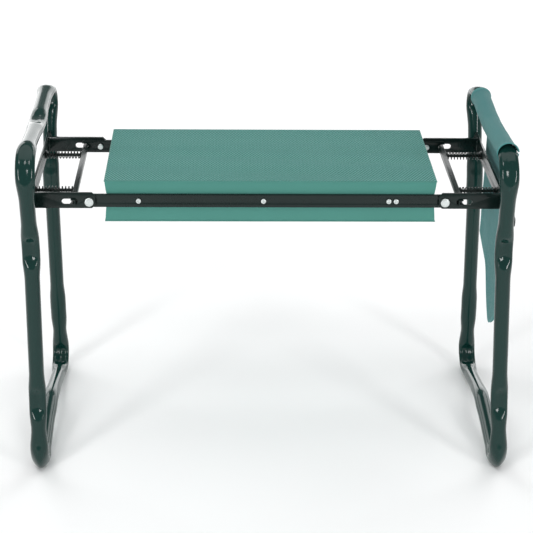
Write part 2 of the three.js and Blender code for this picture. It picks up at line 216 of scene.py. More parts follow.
def copied(obj, name, placed=Matrix.Identity(4)):
    """A copy of obj with its own mesh, moved by a matrix."""
    twin = obj.copy()
    twin.data = obj.data.copy()
    bpy.context.scene.collection.objects.link(twin)
    twin.data.transform(placed)
    twin.name = twin.data.name = name
    return twin


def points_of(obj):
    flat = np.empty(len(obj.data.vertices) * 3)
    obj.data.vertices.foreach_get("co", flat)
    return flat.reshape(-1, 3)


def move_points(obj, places):
    obj.data.vertices.foreach_set("co", np.ascontiguousarray(places).ravel())
    obj.data.update()


def smooth_step(low, high, value):
    t = np.clip((value - low) / (high - low), 0, 1)
    return t * t * (3 - 2 * t)


def ripple(places, size, seed):
    """Soft noise from -1 to 1 at each place."""
    shift = Vector((seed * 7.3, seed * 3.1, seed * 5.7))
    return np.array([noise.noise(Vector(p) / size + shift) for p in places])


def fit(obj, body, slot, finish, *nodes):
    """Gives a finished piece its body and its material, and hides the CAD nodes that it stands for."""
    obj.data.materials.clear()
    obj.data.materials.append(finish)
    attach(obj, body)
    if nodes:
        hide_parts(*nodes)
    return obj


# ---------------------------------------------------------------- camera, light and floor
def studio():
    scene = bpy.context.scene
    scene.view_settings.view_transform = "Standard"
    pitch, yaw, roll = math.radians(-24.34), math.radians(1.73), math.radians(-0.77)
    forward = Vector((math.sin(yaw) * math.cos(pitch), math.cos(yaw) * math.cos(pitch), math.sin(pitch)))
    level = Vector((math.cos(yaw), -math.sin(yaw), 0))
    down = forward.cross(level)
    right = math.cos(roll) * level + math.sin(roll) * down
    up = math.sin(roll) * level - math.cos(roll) * down
    camera = bpy.data.objects.new("camera", bpy.data.cameras.new("camera"))
    scene.collection.objects.link(camera)
    turned = Matrix((right, up, -forward)).transposed().to_4x4()
    camera.matrix_world = Matrix.Translation((-0.0611, -1.8887, 1.0792)) @ turned
    camera.data.lens = 106.3
    camera.data.sensor_width = 36
    scene.camera = camera

    def softbox(name, at, aim, size, radiance):
        light = bpy.data.lights.new(name, "AREA")
        light.shape = "RECTANGLE"
        light.size, light.size_y = size
        light.energy = radiance * math.pi * size[0] * size[1]
        lamp = bpy.data.objects.new(name, light)
        scene.collection.objects.link(lamp)
        lamp.location = at
        lamp.rotation_euler = (Vector(aim) - Vector(at)).to_track_quat("-Z", "Y").to_euler()
        lamp.visible_camera = False

    softbox("back wall", (0, 3.4, 0.75), (0, 0, 0.75), (7, 1.5), 2.2)
    softbox("back left", (-2.3, 2.6, 2.5), (0, 0, 0.3), (2.4, 1.6), 3.2)
    softbox("back right", (2.3, 2.6, 2.5), (0, 0, 0.3), (2.4, 1.6), 3.2)
    softbox("key", (-0.9, -1.6, 3.0), (0, 0, 0.3), (0.9, 0.7), 9.0)
    softbox("overhead", (0, 0.2, 4.2), (0, 0, 0), (4.5, 3.0), 1.15)
    softbox("front left strip", (-1.7, -2.2, 1.0), (0, 0, 0.4), (0.45, 1.1), 16.0)
    softbox("front right strip", (1.7, -2.2, 1.0), (0, 0, 0.4), (0.45, 1.1), 16.0)

    world = bpy.data.worlds.new("studio")
    scene.world = world
    world.use_nodes = True
    background = world.node_tree.nodes["Background"]
    background.inputs["Color"].default_value = (0.97, 0.99, 1, 1)
    background.inputs["Strength"].default_value = 0.32

    bpy.ops.mesh.primitive_plane_add(size=14, location=(0, 0, -0.0004))
    floor = settle(bpy.context.object, "floor")
    pale = bpy.data.materials.new("pale floor")
    pale.use_nodes = True
    shader = pale.node_tree.nodes["Principled BSDF"]
    shader.inputs["Base Color"].default_value = (0.93, 0.93, 0.93, 1)
    shader.inputs["Roughness"].default_value = 0.9
    shader.inputs["Specular IOR Level"].default_value = 0.1
    floor.data.materials.append(pale)


# ---------------------------------------------------------------- finishes
def effect(name, inputs, outputs):
    """An empty shader group with named sockets, and its two end nodes."""
    group = bpy.data.node_groups.new(name, "ShaderNodeTree")
    for label, kind, value in inputs:
        socket = group.interface.new_socket(label, in_out="INPUT", socket_type=kind)
        if value is not None:
            socket.default_value = value
    for label in outputs:
        group.interface.new_socket(label, in_out="OUTPUT", socket_type="NodeSocketFloat")
    return group, group.nodes.new("NodeGroupInput"), group.nodes.new("NodeGroupOutput")


def math_node(tree, operation, *values):
    node = tree.nodes.new("ShaderNodeMath")
    node.operation = operation
    for socket, value in zip(node.inputs, values):
        if isinstance(value, (int, float)):
            socket.default_value = value
        else:
            tree.links.new(value, socket)
    return node.outputs[0]


def mottle_effect():
    """Cloudy tone with a little grain, and the grain's height."""
    group, start, end = effect(
        "Mottle",
        [
            ("Vector", "NodeSocketVector", None),
            ("Cloud Scale", "NodeSocketFloat", 20),
            ("Grain Scale", "NodeSocketFloat", 600),
            ("Grain Share", "NodeSocketFloat", 0.4),
        ],
        ["Tone", "Height"],
    )
    cloud = group.nodes.new("ShaderNodeTexNoise")
    cloud.inputs["Detail"].default_value = 3
    grain = group.nodes.new("ShaderNodeTexNoise")
    grain.inputs["Detail"].default_value = 2
    for texture, scale in ((cloud, "Cloud Scale"), (grain, "Grain Scale")):
        group.links.new(start.outputs["Vector"], texture.inputs["Vector"])
        group.links.new(start.outputs[scale], texture.inputs["Scale"])
    share = start.outputs["Grain Share"]
    fine = math_node(group, "MULTIPLY", grain.outputs["Fac"], share)
    broad = math_node(group, "MULTIPLY", cloud.outputs["Fac"], math_node(group, "SUBTRACT", 1.0, share))
    group.links.new(math_node(group, "ADD", fine, broad), end.inputs["Tone"])
    group.links.new(grain.outputs["Fac"], end.inputs["Height"])
    return group


def weave_effect():
    """Plain weave on a surface measured in metres: threads over and under each other."""
    group, start, end = effect(
        "Weave",
        [("Vector", "NodeSocketVector", None), ("Thread Spacing", "NodeSocketFloat", THREAD)],
        ["Height", "Gap"],
    )
    split = group.nodes.new("ShaderNodeSeparateXYZ")
    group.links.new(start.outputs["Vector"], split.inputs[0])

    def wave(axis):
        turns = math_node(group, "DIVIDE", split.outputs[axis], start.outputs["Thread Spacing"])
        return math_node(group, "SINE", math_node(group, "MULTIPLY", turns, math.pi))

    over = math_node(group, "MULTIPLY", wave("X"), wave("Y"))
    along = math_node(group, "ABSOLUTE", wave("X"))
    across = math_node(group, "ABSOLUTE", wave("Y"))
    body = math_node(group, "MULTIPLY", along, across)
    lift = math_node(group, "MULTIPLY", over, 0.35)
    group.links.new(math_node(group, "ADD", body, lift), end.inputs["Height"])
    group.links.new(math_node(group, "SUBTRACT", 1.0, body), end.inputs["Gap"])
    return group


class Finish:
    """One material: a Principled shader with its colour, roughness and bump worked out from effects."""

    def __init__(self, name, metallic=0.0, coat=0.0, sheen=0.0, specular=0.5):
        self.material = bpy.data.materials.new(name)
        self.material.use_nodes = True
        self.tree = self.material.node_tree
        self.shader = self.tree.nodes["Principled BSDF"]
        self.shader.inputs["Metallic"].default_value = metallic
        self.shader.inputs["Coat Weight"].default_value = coat
        self.shader.inputs["Coat Roughness"].default_value = 0.04
        self.shader.inputs["Sheen Weight"].default_value = sheen
        self.shader.inputs["Specular IOR Level"].default_value = specular
        self.place = self.tree.nodes.new("ShaderNodeTexCoord").outputs["Object"]

    def use(self, group, vector=None, **values):
        node = self.tree.nodes.new("ShaderNodeGroup")
        node.node_tree = group
        self.tree.links.new(vector or self.place, node.inputs["Vector"])
        for label, value in values.items():
            node.inputs[label.replace("_", " ").title()].default_value = value
        return node.outputs

    def attribute(self, name):
        node = self.tree.nodes.new("ShaderNodeAttribute")
        node.attribute_name = name
        return node.outputs["Fac"]

    def between(self, factor, first, second):
        """A colour between two, by a factor that varies over the surface."""
        ramp = self.tree.nodes.new("ShaderNodeValToRGB")
        ramp.color_ramp.elements[0].color = (*first, 1)
        ramp.color_ramp.elements[1].color = (*second, 1)
        self.tree.links.new(factor, ramp.inputs["Fac"])
        return ramp.outputs["Color"]

    def blend(self, factor, first, second):
        mix = self.tree.nodes.new("ShaderNodeMix")
        mix.data_type = "RGBA"
        self.tree.links.new(factor, mix.inputs["Factor"])
        self.tree.links.new(first, mix.inputs["A"])
        if isinstance(second, tuple):
            mix.inputs["B"].default_value = (*second, 1)
        else:
            self.tree.links.new(second, mix.inputs["B"])
        return mix.outputs["Result"]

    def range(self, value, low, high, start=0.3, end=0.7):
        node = self.tree.nodes.new("ShaderNodeMapRange")
        self.tree.links.new(value, node.inputs["Value"])
        for label, number in (("From Min", start), ("From Max", end), ("To Min", low), ("To Max", high)):
            node.inputs[label].default_value = number
        return node.outputs["Result"]

    def set(self, color, roughness, height=None, depth=0.0):
        self.tree.links.new(color, self.shader.inputs["Base Color"])
        self.tree.links.new(roughness, self.shader.inputs["Roughness"])
        if height is not None:
            bump = self.tree.nodes.new("ShaderNodeBump")
            bump.inputs["Distance"].default_value = depth
            self.tree.links.new(height, bump.inputs["Height"])
            self.tree.links.new(bump.outputs["Normal"], self.shader.inputs["Normal"])
        return self.material


def gloss_paint(mottle):
    finish = Finish("gloss green paint", coat=0.1, specular=0.28)
    film = finish.use(mottle, cloud_scale=9, grain_scale=260, grain_share=0.25)
    return finish.set(
        finish.between(film["Tone"], (0.003, 0.024, 0.020), (0.006, 0.034, 0.029)),
        finish.range(film["Tone"], 0.08, 0.18),
        film["Height"],
        0.00004,
    )


def dark_paint(mottle):
    finish = Finish("dark green paint", coat=0.1, specular=0.28)
    film = finish.use(mottle, cloud_scale=14, grain_scale=700, grain_share=0.4)
    return finish.set(
        finish.between(film["Tone"], (0.002, 0.008, 0.007), (0.005, 0.015, 0.013)),
        finish.range(film["Tone"], 0.22, 0.36),
        film["Height"],
        0.00005,
    )


def zinc_plate(mottle):
    finish = Finish("zinc plate", metallic=1.0)
    film = finish.use(mottle, cloud_scale=120, grain_scale=2400, grain_share=0.6)
    return finish.set(
        finish.between(film["Tone"], (0.55, 0.60, 0.59), (0.85, 0.89, 0.88)),
        finish.range(film["Tone"], 0.28, 0.48),
        film["Height"],
        0.0001,
    )


def black_wire(mottle):
    finish = Finish("black spring wire", metallic=0.5)
    film = finish.use(mottle, cloud_scale=60, grain_scale=1800, grain_share=0.5)
    return finish.set(
        finish.between(film["Tone"], (0.005, 0.009, 0.008), (0.016, 0.022, 0.020)),
        finish.range(film["Tone"], 0.24, 0.40),
        film["Height"],
        0.00003,
    )


def teal_foam(mottle):
    finish = Finish("teal foam", sheen=0.15, specular=0.3)
    cells = finish.use(mottle, cloud_scale=12, grain_scale=1500, grain_share=0.5)
    flat = finish.between(cells["Tone"], (0.048, 0.200, 0.165), (0.072, 0.255, 0.215))
    # Painted shade and highlight: by the emboss height, the grooves between the studs are coloured dark as
    # shade and the stud tops light as a painted highlight.
    painted_emboss_shading = finish.between(finish.attribute("emboss"), (0.014, 0.090, 0.080), (0.120, 0.370, 0.325))
    return finish.set(
        finish.blend(finish.attribute("tread"), flat, painted_emboss_shading),
        finish.range(cells["Tone"], 0.62, 0.82),
        cells["Height"],
        0.00018,
    )


def pouch_cloth(mottle, weave):
    finish = Finish("teal pouch cloth", sheen=0.08, specular=0.3)
    cloth = finish.tree.nodes.new("ShaderNodeUVMap")
    cloth.uv_map = "cloth"
    threads = finish.use(weave, cloth.outputs["UV"])
    fade = finish.use(mottle, cloud_scale=18, grain_scale=900, grain_share=0.3)
    color = finish.between(fade["Tone"], (0.022, 0.125, 0.130), (0.040, 0.180, 0.185))
    # Painted shade: the gaps between the threads are coloured darker.
    color = finish.blend(finish.range(threads["Gap"], 0, 0.55, 0.5, 1), color, (0.008, 0.055, 0.060))
    # Painted highlight: the turned hems are coloured lighter, as the light catching their rolled edge.
    color = finish.blend(finish.range(finish.attribute("hem"), 0, 0.45, 0, 1), color, (0.090, 0.330, 0.310))
    return finish.set(color, finish.range(fade["Tone"], 0.70, 0.88), threads["Height"], 0.00022)


def binding_tape(mottle, weave):
    finish = Finish("dark binding tape", sheen=0.1, specular=0.3)
    cloth = finish.tree.nodes.new("ShaderNodeUVMap")
    cloth.uv_map = "cloth"
    threads = finish.use(weave, cloth.outputs["UV"], thread_spacing=0.0007)
    fade = finish.use(mottle, cloud_scale=30, grain_scale=900, grain_share=0.3)
    color = finish.between(fade["Tone"], (0.006, 0.016, 0.016), (0.015, 0.032, 0.032))
    # Painted shade: the gaps between the threads are coloured darker.
    color = finish.blend(finish.range(threads["Gap"], 0, 0.6, 0.4, 1), color, (0.002, 0.006, 0.006))
    return finish.set(color, finish.range(fade["Tone"], 0.65, 0.85), threads["Height"], 0.0002)


def plywood(mottle):
    finish = Finish("plywood", specular=0.3)
    split = finish.tree.nodes.new("ShaderNodeSeparateXYZ")
    finish.tree.links.new(finish.place, split.inputs[0])
    ply = 0.0024
    turns = math_node(finish.tree, "MULTIPLY", split.outputs["Z"], math.pi / ply)
    plies = math_node(finish.tree, "SINE", turns)
    grain = finish.use(mottle, cloud_scale=40, grain_scale=900, grain_share=0.5)
    face = finish.between(grain["Tone"], (0.36, 0.23, 0.12), (0.52, 0.36, 0.20))
    color = finish.blend(finish.range(plies, 0, 0.5, -0.2, 0.2), face, (0.20, 0.11, 0.05))
    return finish.set(color, finish.range(grain["Tone"], 0.6, 0.8), grain["Height"], 0.0002)


# ---------------------------------------------------------------- side frames
def loop_arcs():
    """Each bend of the closed loop: where its arc starts and ends, its centre, turn and dent."""
    low, *half, high = BENDS
    corners = [low, *half, high, *((-y, *rest) for y, *rest in reversed(half))]
    arcs = []
    for i, (y, z, radius, *dent) in enumerate(corners):
        here = Vector((0, y, z))
        before, after = corners[i - 1], corners[(i + 1) % len(corners)]
        into = (here - Vector((0, before[0], before[1]))).normalized()
        out = (Vector((0, after[0], after[1])) - here).normalized()
        turn = math.atan2(into.cross(out).x, into.dot(out))
        reach = radius * math.tan(abs(turn) / 2)
        towards_centre = Vector((0, -into.z, into.y)) * math.copysign(1, turn)
        start = here - into * reach
        arcs.append(
            {
                "start": start,
                "end": here + out * reach,
                "centre": start + towards_centre * radius,
                "turn": turn,
                "radius": radius,
                "dent": dent,
            }
        )
    return arcs


def bent_loop(arcs):
    """A ring of tube, run out straight to each bend and swung round it until it meets its start."""
    first = (arcs[0]["end"] + arcs[1]["start"]) / 2
    along = (arcs[1]["start"] - arcs[0]["end"]).normalized()
    bpy.ops.mesh.primitive_circle_add(
        vertices=TUBE_SIDES, radius=TUBE_R, location=first, rotation=(math.atan2(-along.y, along.z), 0, 0)
    )
    loop = settle(bpy.context.object, "side_frame")
    bpy.ops.object.mode_set(mode="EDIT")
    bpy.ops.mesh.select_all(action="SELECT")
    here = first

    def run_to(place):
        steps = max(1, round((place - here).length / RING))
        bpy.ops.mesh.extrude_repeat(steps=steps, offset=(place - here) / steps)

    for arc in [*arcs[1:], arcs[0]]:
        run_to(arc["start"])
        steps = max(2, math.ceil(abs(arc["turn"]) * arc["radius"] / (RING * 0.7)))
        bpy.ops.mesh.spin(steps=steps, angle=-arc["turn"], center=arc["centre"], axis=(1, 0, 0))
        here = arc["end"]
    run_to(first)
    bpy.ops.mesh.select_all(action="SELECT")
    bpy.ops.mesh.remove_doubles(threshold=0.00005)
    bpy.ops.mesh.normals_make_consistent(inside=False)
    done()
    return loop


def centre_line(arcs, step=0.001):
    """Points along the loop's centre line with the direction and the distance run at each."""
    rows, run, middles = [], 0.0, []
    for i, arc in enumerate(arcs):
        start = arc["start"] - arc["centre"]
        long = abs(arc["turn"]) * arc["radius"]
        middles.append(run + long / 2)
        count = max(2, round(long / step))
        for k in range(count):
            turned = Matrix.Rotation(arc["turn"] * k / count, 3, "X") @ start
            ahead = Vector((0, -turned.z, turned.y)).normalized() * math.copysign(1, arc["turn"])
            rows.append((*(arc["centre"] + turned), *ahead, run + long * k / count))
        run += long
        after = arcs[(i + 1) % len(arcs)]["start"]
        span = after - arc["end"]
        count = max(2, round(span.length / step))
        for k in range(count):
            rows.append((*(arc["end"] + span * k / count), *span.normalized(), run + span.length * k / count))
        run += span.length
    return np.array(rows), np.array(middles), run


def crush_bends(loop, arcs):
    """Presses in the inside of each bend, sinks or swells its outside and spreads the tube's sides."""
    line, middles, total = centre_line(arcs)
    tree = kdtree.KDTree(len(line))
    for i, row in enumerate(line):
        tree.insert(row[:3], i)
    tree.balance()
    places = points_of(loop)
    nearest = np.array([tree.find((0, y, z))[1] for _, y, z in places])
    centre, ahead, run = line[nearest, :3], line[nearest, 3:6], line[nearest, 6]
    inward = np.stack([np.zeros(len(run)), -ahead[:, 2], ahead[:, 1]], 1)
    offset = ((places - centre) * inward).sum(1)
    x = places[:, 0].copy()
    for arc, middle in zip(arcs, middles):
        deep, sink, reach, spread = arc["dent"]
        if not deep:
            continue
        side = math.copysign(1, arc["turn"])
        away = np.abs((run - middle + total / 2) % total - total / 2) / reach
        press = 1 - smooth_step(0.35, 1.0, away)
        wider = 1 - smooth_step(0.6, 1.7, away)
        inner = offset * side / TUBE_R
        across = np.exp(-((x / (0.70 * TUBE_R)) ** 2))
        dented = -deep * press * across * smooth_step(-0.1, 0.7, inner)
        saddle = sink * press * across * smooth_step(-0.1, 0.7, -inner)
        places += inward * (side * (dented + saddle))[:, None]
        places[:, 0] += x * spread * wider * (1 - 0.35 * np.abs(inner))
    places[:, 2] = np.maximum(places[:, 2], 0)
    move_points(loop, places)


def leaning(side):
    """Puts a loop in its frame's plane; a shear keeps the feet level."""
    low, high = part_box(f"{side}_cross_bar")
    lean = math.tan(LEAN[side])
    sheared = Matrix.Identity(4)
    sheared[0][2] = -lean
    sheared[0][3] = (low.x + high.x) / 2 + lean * RAIL_Z
    return sheared


def side_frames(paint):
    arcs = loop_arcs()
    loop = bent_loop(arcs)
    crush_bends(loop, arcs)
    take(loop)
    bpy.ops.object.shade_smooth()
    for side in ("left", "right"):
        piece = copied(loop, f"{side}_frame_loop", leaning(side))
        fit(piece, f"{side}_frame", "gloss_paint", paint, f"{side}_frame_tube")
    bpy.data.objects.remove(loop)


# ---------------------------------------------------------------- brackets, cross bars and locks
OPPOSITE = {"": "", "front_": "rear_", "rear_": "front_"}


def both_ends(obj, facing, part, node, body, slot, finish):
    """Fits a piece of the right end, and a copy half a turn round at the left end.

    facing is "front_" or "rear_", or "" for a piece that runs right across.
    """
    other = OPPOSITE[facing]
    twin = copied(obj, f"left_{other}{part}", HALF_TURN)
    obj.name = obj.data.name = f"right_{facing}{part}"
    fit(obj, f"right_{body}", slot, finish, f"right_{facing}{node}")
    fit(twin, f"left_{body}", slot, finish, f"left_{other}{node}")
    return obj, twin


def bracket_plate():
    """The front bracket of the right end: a flat plate with a round-ended slot and a clipped nose."""
    low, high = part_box("right_front_bracket")
    lock_low, lock_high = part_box("right_lock_bar")
    plate = block("bracket", low, high)
    chamfer(plate, lambda at, way: abs(way.y) > 0.9 and at.x < low.x + 0.001, 0.0042)
    half = (lock_high.z - lock_low.z) / 2 + CLEAR
    start = Vector((lock_low.x - SLOT_IN + half, low.y - PAST, RAIL_Z))
    end = Vector((right_pivot.x + SLOT_OUT - half, low.y - PAST, RAIL_Z))
    through = Vector((0, high.y - low.y + 2 * PAST, 0))
    middle = block(
        "slot",
        (start.x, start.y, RAIL_Z - half),
        (end.x, start.y + through.y, RAIL_Z + half),
    )
    ends = [rod("slot_end", place, place + through, half) for place in (start, end)]
    return soften(cut(plate, middle, *ends), EDGE)


def brackets(paint):
    front = bracket_plate()
    rear = copied(front, "rear_bracket", Matrix.Scale(-1, 4, (0, 1, 0)))
    take(rear)
    bpy.ops.object.mode_set(mode="EDIT")
    bpy.ops.mesh.select_all(action="SELECT")
    bpy.ops.mesh.flip_normals()
    done()
    for plate, facing in ((front, "front_"), (rear, "rear_")):
        both_ends(plate, facing, "bracket_plate", "bracket", "frame", "dark_paint", paint)


def weld_bead(at, size):
    """A lumpy bead of weld."""
    bpy.ops.mesh.primitive_uv_sphere_add(segments=20, ring_count=12, radius=1, location=at, scale=size)
    bead = settle(bpy.context.object, "bead")
    places = points_of(bead)
    lump = ripple(places, 0.004, 3)
    middle = np.array(at)
    move_points(bead, middle + (places - middle) * (1 + 0.16 * lump)[:, None])
    take(bead)
    bpy.ops.object.shade_smooth()
    return bead


def weld_beads(low, high):
    """A bead at each end of a cross bar, and one where each bracket meets it."""
    bead_high = 0.0085
    x, z = (low.x + high.x) / 2, (low.z + high.z) / 2
    bracket_low, bracket_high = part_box("right_front_bracket")
    bar_end = high.y - 0.001 - 0.5 * UPRIGHT_SLOPE * (high.z - low.z)
    bracket_y = abs(bracket_low.y + bracket_high.y) / 2
    beads = [weld_bead((x, side * bar_end, z), (0.0036, 0.0022, bead_high)) for side in (-1, 1)]
    for side in (-1, 1):
        at = (low.x - 0.0008, bracket_y * side - 0.002 * side, z)
        beads.append(weld_bead(at, (0.0018, 0.0022, bead_high)))
    return join("right_welds", *beads)


def cross_bars(paint):
    """Flat bar on edge between the uprights, cut to their slope, and its welds."""
    low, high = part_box("right_cross_bar")
    bar = block("cross_bar", low, high)
    places = points_of(bar)
    at_foot = places[:, 2] < RAIL_Z
    places[at_foot, 1] -= np.sign(places[at_foot, 1]) * UPRIGHT_SLOPE * (high.z - low.z)
    move_points(bar, places)
    holes = []
    for node in ("right_front_guide_rod", "right_rear_guide_rod"):
        rod_low, rod_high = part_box(node)
        y = (rod_low.y + rod_high.y) / 2
        holes.append(rod("hole", (low.x - PAST, y, RAIL_Z), (high.x + PAST, y, RAIL_Z), 0.0024, 20))
    soften(cut(bar, *holes), EDGE)
    welds = weld_beads(low, high)
    both_ends(bar, "", "cross_plate", "cross_bar", "frame", "dark_paint", paint)
    twin = copied(welds, "left_welds", HALF_TURN)
    fit(welds, "right_frame", "dark_paint", paint)
    fit(twin, "left_frame", "dark_paint", paint)


def lock_bars(paint):
    """A channel with its open side to the cross bar."""
    low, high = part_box("right_lock_bar")
    bar = block("lock_bar", low, high)
    web, flange = 0.0015, 0.0012
    hollow = block(
        "hollow",
        (low.x + web, low.y - PAST, low.z + flange),
        (high.x + PAST, high.y + PAST, high.z - flange),
    )
    soften(cut(bar, hollow), 0.0004)
    both_ends(bar, "", "lock_channel", "lock_bar", "lock", "dark_paint", paint)


def guide_rods_and_springs(paint, wire):
    cross_low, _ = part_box("right_cross_bar")
    _, lock_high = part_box("right_lock_bar")
    gap = 0.0004
    for facing in ("front_", "rear_"):
        low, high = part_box(f"right_{facing}guide_rod")
        y = (low.y + high.y) / 2
        pin = rod("guide_rod", (low.x, y, RAIL_Z), (high.x, y, RAIL_Z), 0.002, 24)
        soften(pin, 0.0006, 3)
        both_ends(pin, facing, "rod", "guide_rod", "lock", "dark_paint", paint)

        coil = spring(lock_high.x + gap, cross_low.x - gap, y)
        pair = both_ends(coil, facing, "coil", "spring", "frame", "spring_steel", wire)
        for piece, side in zip(pair, ("right", "left")):
            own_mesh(piece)


def spring(start, end, y):
    """Round wire wound into a coil along X, with a closed turn at each end."""
    bpy.ops.mesh.primitive_circle_add(vertices=10, radius=WIRE_R)
    coil = settle(bpy.context.object, "spring")
    places = points_of(coil)
    angle = np.arange(len(places)) * 2 * math.pi / len(places)
    places[:, 0] = start + WIRE_R + WIRE_R * np.cos(angle)
    places[:, 1] = 0
    places[:, 2] = COIL_R + WIRE_R * np.sin(angle)
    move_points(coil, places)
    wind = coil.modifiers.new("wind", "SCREW")
    wind.axis = "X"
    wind.angle = 2 * math.pi * COIL_TURNS
    wind.screw_offset = end - start - 2 * WIRE_R
    wind.steps = wind.render_steps = COIL_TURNS * 24
    wind.use_smooth_shade = True
    take(coil)
    bpy.ops.object.modifier_apply(modifier=wind.name)
    bpy.ops.object.mode_set(mode="EDIT")
    bpy.ops.mesh.select_all(action="DESELECT")
    bpy.ops.mesh.select_mode(type="EDGE")
    bpy.ops.mesh.select_non_manifold()
    bpy.ops.mesh.edge_face_add()
    bpy.ops.mesh.select_all(action="SELECT")
    bpy.ops.mesh.normals_make_consistent(inside=False)
    done()
    coil.data.transform(Matrix.Translation((0, y, RAIL_Z)))
    ends = []
    for x in (start + WIRE_R, end - WIRE_R):
        bpy.ops.mesh.primitive_torus_add(
            major_segments=32,
            minor_segments=10,
            major_radius=COIL_R,
            minor_radius=WIRE_R,
            location=(x, y, RAIL_Z),
            rotation=(0, math.pi / 2, 0),
        )
        ends.append(settle(bpy.context.object, "end_turn"))
        bpy.ops.object.shade_smooth()
    return join("spring", coil, *ends)


# ---------------------------------------------------------------- rails and fasteners
def rail_bar():
    """The front rail: a flat bar, forked at each end over the lock bar; upper prong round, lower clipped."""
    low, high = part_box("front_rail")
    lock_low, lock_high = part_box("right_lock_bar")
    bar = block("rail", low, high)
    chamfer(bar, lambda at, way: abs(way.y) > 0.9 and at.z > RAIL_Z, 0.0035, 5)
    chamfer(bar, lambda at, way: abs(way.y) > 0.9 and at.z < RAIL_Z, 0.0052)
    tools = []
    half = (lock_high.z - lock_low.z) / 2 + CLEAR
    front, back = low.y - PAST, high.y + PAST
    for side in (-1, 1):
        at = MIDDLE_X + side * (lock_low.x - MIDDLE_X - CLEAR + half)
        mouth = MIDDLE_X + side * (high.x - MIDDLE_X + PAST)
        tools.append(rod("notch", (at, front, RAIL_Z), (at, back, RAIL_Z), half))
        left, right = sorted((at, mouth))
        tools.append(block("mouth", (left, front, RAIL_Z - half), (right, back, RAIL_Z + half)))
    return soften(cut(bar, *tools), EDGE)


def rails(paint):
    bar = rail_bar()
    twin = copied(bar, "rear_rail_bar", HALF_TURN)
    bar.name = bar.data.name = "front_rail_bar"
    fit(bar, "bench", "dark_paint", paint, "front_rail")
    fit(twin, "bench", "dark_paint", paint, "rear_rail")


def at_front(low):
    """Rule for the edges round a head's face."""
    return lambda at, way: abs(way.y) < 0.1 and at.y < low.y + 0.0001


def screw_piece(low, high):
    """Pan-head screw with a cross recess, its head to the front."""
    middle = (low + high) / 2
    x, z = middle.x, middle.z
    head = rod("screw", (x, low.y, z), (x, low.y + 0.0018, z), 0.0032, 36)
    chamfer(head, at_front(low), 0.0009, 4)
    arm, thin, deep = 0.0019, 0.00042, 0.0009
    crossed = [
        block("recess", (x - a, low.y - 0.001, z - b), (x + a, low.y + deep, z + b))
        for a, b in ((arm, thin), (thin, arm))
    ]
    cut(head, *crossed)
    shank = rod("shank", (x, low.y + 0.0017, z), (x, high.y, z), 0.0016, 16)
    soften(head, 0.0001, 1)
    return join("screw", head, shank)


def rivet_piece(low, high):
    """Pivot rivet: a flat round head with a coined edge, its shank and the upset tail behind the rail."""
    middle = (low + high) / 2
    x, z = middle.x, middle.z
    head = rod("rivet", (x, low.y, z), (x, low.y + 0.0028, z), 0.0056, 48)
    chamfer(head, at_front(low), 0.0011, 4)
    pick(head, "FACE", lambda at, way: way.y < -0.9)
    bpy.ops.mesh.inset(thickness=0.0008, depth=-0.00015)
    bpy.ops.mesh.inset(thickness=0.0009, depth=0.00012)
    done()
    shank = rod("shank", (x, low.y + 0.0027, z), (x, high.y - 0.001, z), 0.0035)
    tail = rod("tail", (x, high.y - 0.002, z), (x, high.y, z), 0.0038)
    chamfer(tail, lambda at, way: abs(way.y) < 0.1 and at.y > high.y - 0.0001, 0.0009, 3)
    soften(head, 0.0001, 1)
    return join("rivet", head, shank, tail)


def fasteners(plate):
    """One screw and one rivet, copied to every hole; those at the back are turned round."""
    screws = [f"rail_screw_{number}" for number in (1, 2, 3, 4)]
    rivets = ["left_pivot_rivet", "right_pivot_rivet"]
    for build, stems in ((screw_piece, screws), (rivet_piece, rivets)):
        low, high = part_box(f"front_{stems[0]}")
        model = build(low, high)
        home = Vector(((low.x + high.x) / 2, low.y, RAIL_Z))
        for facing, half_turns in (("front", 0), ("rear", 1)):
            facing_way = Matrix.Rotation(math.pi * half_turns, 4, "Z")
            for stem in stems:
                node = f"{facing}_{stem}"
                node_low, node_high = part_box(node)
                face_y = node_high.y if half_turns else node_low.y
                there = Vector(((node_low.x + node_high.x) / 2, face_y, RAIL_Z))
                # each one stopped turning somewhere else
                stopped = Matrix.Rotation(math.radians(37 * len(node) + there.x * 9000), 4, "Y")
                placed = Matrix.Translation(there) @ facing_way @ stopped @ Matrix.Translation(-home)
                fit(copied(model, f"{node}_head", placed), "bench", "zinc", plate, node)
        bpy.data.objects.remove(model)


# ---------------------------------------------------------------- foam pads
def tread_height(places):
    """Height from 1 on each lens-shaped stud to 0 in the grooves between them, in rows laid like bricks."""
    row = np.floor(places[:, 1] / EMBOSS["pitch_y"])
    across = places[:, 0] / EMBOSS["pitch_x"] + 0.5 * (row % 2)
    a = (across % 1) - 0.5
    b = (places[:, 1] / EMBOSS["pitch_y"] - row) - 0.5
    return 1 - smooth_step(0.55, 1.1, np.sqrt((a / 0.46) ** 2 + (b / 0.46) ** 2))


def run_rim(size, target, middle, z):
    """Extrudes the open rim of a slab and scales the new ring to its target half sizes at height z."""
    bpy.ops.mesh.extrude_region_move()
    bpy.ops.transform.resize(
        value=(target.x / size.x, target.y / size.y, 0),
        center_override=(middle.x, middle.y, z),
    )
    return target


